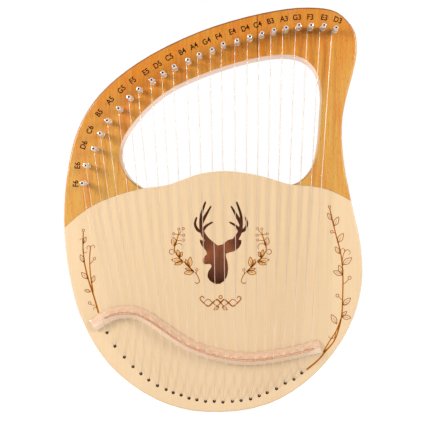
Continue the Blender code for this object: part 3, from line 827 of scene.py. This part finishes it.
def make_vines():
    glow = Drawing(lift=BURN_LIFT / 2)
    for line in (LEFT_STEM, LEFT_BRANCH, RIGHT_STEM, RIGHT_STRAND):
        glow.stroke(line, 2.0, 3.0)
    glow.object("vine_glow", SINGED, "spruce_top")

    vine = Drawing()
    vine.stroke(LEFT_STEM, 1.2, 1.9)
    vine.stroke(LEFT_BRANCH, 1.1, 1.3)
    vine.ring((-164.9, -26.2), 1.5, 0.9)
    for base, tip in LEFT_LEAVES:
        vine.leaf(base, tip)
    vine.stroke([(-156.6, -69), (-153.5, -65.5), (-152, -63.5)], 0.85)
    vine.ring((-151, -61.8), 1.6, 0.85)
    vine.leaf((-155.8, -104), (-163.6, -102))
    vine.stroke([(-150.5, -121), (-154, -121), (-155.6, -119.6)], 0.85)
    vine.ring((-157, -118.4), 1.7, 0.85)
    curl(vine, (-155.8, -47), (-159, -48.5), 1.6)
    curl(vine, (-155.8, -47), (-152.4, -47.2), -1.7)
    curl(vine, (-165.5, -44), (-168, -38.5), 1.4)
    curl(vine, (-165.3, -50), (-162, -53), 1.5)
    curl(vine, (-147.5, -125), (-150.6, -125.6), 1.5)
    vine.object("left_vine", SCORCH, "spruce_top")

    vine = Drawing()
    vine.stroke(RIGHT_STEM, 1.2, 1.7)
    vine.stroke(RIGHT_STRAND, 1.0, 1.2)
    vine.ring((147.1, 3.6), 1.5, 0.9)
    for base, tip in RIGHT_LEAVES:
        vine.leaf(base, tip)
    vine.stroke([(164, -95), (168, -92), (171, -88.6)], 0.85)
    vine.ring((172.6, -86.4), 2.0, 0.85)
    vine.stroke([(164, -115), (161, -112.6), (159, -110.6)], 0.85)
    vine.ring((157.2, -109), 1.9, 0.85)
    vine.stroke([(154.4, -30), (152.6, -29), (151.8, -28.6)], 0.85)
    vine.ring((150, -28), 1.7, 0.85)
    vine.stroke([(163, -67), (164.4, -58), (166.4, -53)], 0.9)
    curl(vine, (166.4, -53), (163.6, -51.6), 2.2)
    curl(vine, (166.4, -53), (171, -54.4), -2.4)
    curl(vine, (155, -156), (148, -160.5), -1.8)
    curl(vine, (163.8, -118), (168, -119), 1.4)
    vine.object("right_vine", SCORCH, "spruce_top")


SPRIG_STEM = [
    (-44.4, -31.6), (-46.9, -39.4), (-49.3, -47.2), (-48.8, -53), (-43.5, -60.9), (-36.6, -66.7),
    (-28.8, -74.6), (-21.9, -81.3), (-17.8, -90.2), (-21, -93.6), (-23.3, -92.1),
]
SPRIG_BUDS = [(-44, -24.5), (-38.3, -24), (-50.7, -30.6), (-37.7, -32.4), (-38.2, -38.6)]
SPRIG_LEAVES = [
    ((-49.3, -46.5), (-51, -34.8), 0.27),
    ((-43, -60.9), (-45.8, -50.6), 0.2),
    ((-42.5, -60.5), (-39.9, -53.4), 0.24),
    ((-39.6, -65), (-53.3, -63.4), 0.2),
    ((-38.3, -66.4), (-49.5, -69.4), 0.18),
    ((-30.4, -73.6), (-29.3, -59.8), 0.2),
    ((-31.4, -72.6), (-35.4, -63), 0.2),
    ((-24.6, -78.8), (-37.4, -80.4), 0.22),
    ((-26, -77.4), (-35.8, -74.6), 0.18),
]
SPRIG_CURL = [(-48.5, -45), (-43.4, -42.8), (-39, -46.2), (-39.6, -50.2)]
SPRIG_AXIS = 8.7


def make_sprigs():
    """Two laurel sprigs that mirror each other round the sound hole, and a plain flourish below them."""
    sprigs, glow = Drawing(), Drawing(lift=BURN_LIFT / 2)
    for side in (1, -1):

        def place(point):
            return Vector((SPRIG_AXIS + side * (point[0] - SPRIG_AXIS), point[1]))

        sprigs.stroke([place(p) for p in SPRIG_STEM], 1.1, 1.1)
        glow.stroke([place(p) for p in SPRIG_STEM[:8]], 2.6, 2.0)
        for bud in SPRIG_BUDS:
            sprigs.ring(place(bud), 1.4, 0.8)
            root = Vector(SPRIG_STEM[1]) if bud[1] < -35 else Vector(SPRIG_STEM[0])
            toward = (Vector(bud) - root).normalized()
            sprigs.stroke([place(root), place(Vector(bud) - toward * 1.6)], 0.9, 0.7)
        for base, tip, fullness in SPRIG_LEAVES:
            sprigs.leaf(place(base), place(tip), fullness, 1.0)
            middle = Vector(base).lerp(Vector(tip), 0.5)
            reach = (Vector(tip) - Vector(base)).length
            glow.stroke([place(base), place(middle)], 0.8, reach * fullness * 1.3)
            glow.stroke([place(middle), place(tip)], reach * fullness * 1.3, 0.4)
        sprigs.stroke([place(p) for p in SPRIG_CURL], 0.9, 0.7)
        sprigs.ring(place((-53, -53.4)), 3.1, 0.9)
        sprigs.ring(place((-21.1, -76.2)), 1.5, 0.8)
        sprigs.stroke([place((-21.9, -81)), place((-21.3, -78))], 0.8)
    sprigs.object("laurel_sprigs", SCORCH, "spruce_top")
    glow.object("laurel_glow", SINGED, "spruce_top")

    flourish = Drawing()
    middle, level = 9.0, -118.0
    for side in (1, -1):
        wave = [
            (0, 0), (4.5, 4), (10, 0), (15.5, -4.4), (21, -0.6), (26, 5), (23.4, 8.2), (20.6, 5.6),
        ]
        flourish.stroke([(middle + side * x, level + z) for x, z in wave], 2.1, 1.1)
        flourish.stroke([(middle + side * x, level - z) for x, z in wave[:5]], 1.3, 0.9)
        flourish.leaf((middle + side * 2, level - 5), (middle + side * 8.5, level - 9), 0.24, 1.0)
    flourish.ring((middle, level + 7.2), 2.0, 1.1)
    flourish.object("flourish", SCORCH, "spruce_top")


def make_glue_line():
    """The film of dark glue that fills the yoke's joint, and the line it leaves on the front face."""
    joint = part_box("frame_left")[1].x / MM
    points = np.array([v.co for v in frame["nodes"]["frame_left"].data.vertices]) / MM
    end = points[(points[:, 0] > joint - 0.05) & (points[:, 2] > 100)]
    low, high = end[:, 2].min() + GLUE_INSET, end[:, 2].max() - GLUE_INSET
    front, back = FACE + GLUE_INSET, -GLUE_INSET
    corners = [(x, y, z) for x in (joint, joint + SEAM) for y in (front, back) for z in (low, high)]
    faces = [(0, 1, 3, 2), (4, 6, 7, 5), (0, 4, 5, 1), (2, 3, 7, 6), (0, 2, 6, 4), (1, 5, 7, 3)]
    film = mesh_of("glue_film", corners, faces, smooth=False)
    new_object("glue_film", film, GLUE_LINE, "root")
    line = Drawing()
    line.ribbon([Vector((joint + SEAM / 2, high - 1.2)), Vector((joint + SEAM / 2, low + 1.2))], 0.9)
    line.object("yoke_glue_line", GLUE_LINE, "stained_wood")


def make_tail_marks():
    """Charred rims round the tail holes."""
    marks = Drawing()
    for note in NOTES:
        marks.ring(string_places(note)[0], TAIL_HOLE_RADIUS + 0.2, 0.9)
    marks.object("tail_hole_rims", CHARRED, "spruce_top")


# Stage.


def make_world():
    """A white backdrop to look at, which lights the harp brightly from behind and dimly from in front."""
    world = bpy.data.worlds.new("studio")
    world.use_nodes = True
    tree = world.node_tree
    bpy.context.scene.world = world
    made = {
        name: tree.nodes.new(kind)
        for name, kind in (
            ("place", "ShaderNodeTexCoord"),
            ("axes", "ShaderNodeSeparateXYZ"),
            ("ray", "ShaderNodeLightPath"),
            ("light", "ShaderNodeMapRange"),
            ("seen", "ShaderNodeMapRange"),
        )
    }
    tree.links.new(made["place"].outputs["Generated"], made["axes"].inputs["Vector"])
    tree.links.new(made["axes"].outputs["Y"], made["light"].inputs["Value"])
    tree.links.new(made["ray"].outputs["Is Camera Ray"], made["seen"].inputs["Value"])
    tree.links.new(made["light"].outputs["Result"], made["seen"].inputs["To Min"])
    made["light"].inputs["From Min"].default_value = -0.2
    made["light"].inputs["From Max"].default_value = 0.4
    made["light"].inputs["To Min"].default_value = FRONT_LIGHT
    made["light"].inputs["To Max"].default_value = BACK_LIGHT
    back = tree.nodes["Background"]
    back.inputs["Color"].default_value = (1, 1, 1, 1)
    tree.links.new(made["seen"].outputs["Result"], back.inputs["Strength"])


def make_softbox(name, place, target, power):
    data = bpy.data.lights.new(name, "AREA")
    data.shape = "RECTANGLE"
    data.size, data.size_y = SOFTBOX_SIZE
    data.energy = power
    light = bpy.data.objects.new(name, data)
    light.location = place
    light.rotation_mode = "QUATERNION"
    light.rotation_quaternion = (Vector(target) - Vector(place)).to_track_quat("-Z", "Y")
    bpy.context.scene.collection.objects.link(light)


def make_floor(lowest):
    paper = Finish("pale_paper", 0.9)
    paper.paint(colour(176, 176, 176))
    seen = paper.node("ShaderNodeLightPath").outputs["Is Camera Ray"]
    paper.surface.inputs["Emission Color"].default_value = (1, 1, 1, 1)
    paper.put(paper.surface.inputs["Emission Strength"], paper.span(seen, 0.0, 1.0, 0.55, 0.85))
    mesh = bpy.data.meshes.new("floor")
    corners = [(-1, -1), (1, -1), (1, 1), (-1, 1)]
    points = [(FLOOR_REACH * x, FLOOR_REACH * y, lowest) for x, y in corners]
    mesh.from_pydata(points, [], [(0, 1, 2, 3)])
    floor = bpy.data.objects.new("floor", mesh)
    mesh.materials.append(paper.material)
    bpy.context.scene.collection.objects.link(floor)


def make_camera():
    data = bpy.data.cameras.new("camera")
    data.sensor_width = 36.0
    data.lens = CAMERA_LENS
    data.shift_x, data.shift_y = CAMERA_SHIFT
    camera = bpy.data.objects.new("camera", data)
    camera.location = CAMERA_PLACE
    camera.rotation_euler = (math.pi / 2, 0, 0)
    bpy.context.scene.collection.objects.link(camera)
    bpy.context.scene.camera = camera


def make_stage():
    bpy.context.scene.view_settings.view_transform = "Standard"
    make_world()
    make_floor(cad_box[0].z - FLOOR_DROP)
    for name, place, target, power in SOFTBOXES:
        make_softbox(name, place, target, power)
    make_camera()


make_woods()
make_pins()
make_strings()
make_labels()
make_vines()
make_sprigs()
make_tail_marks()
make_glue_line()
make_stage()
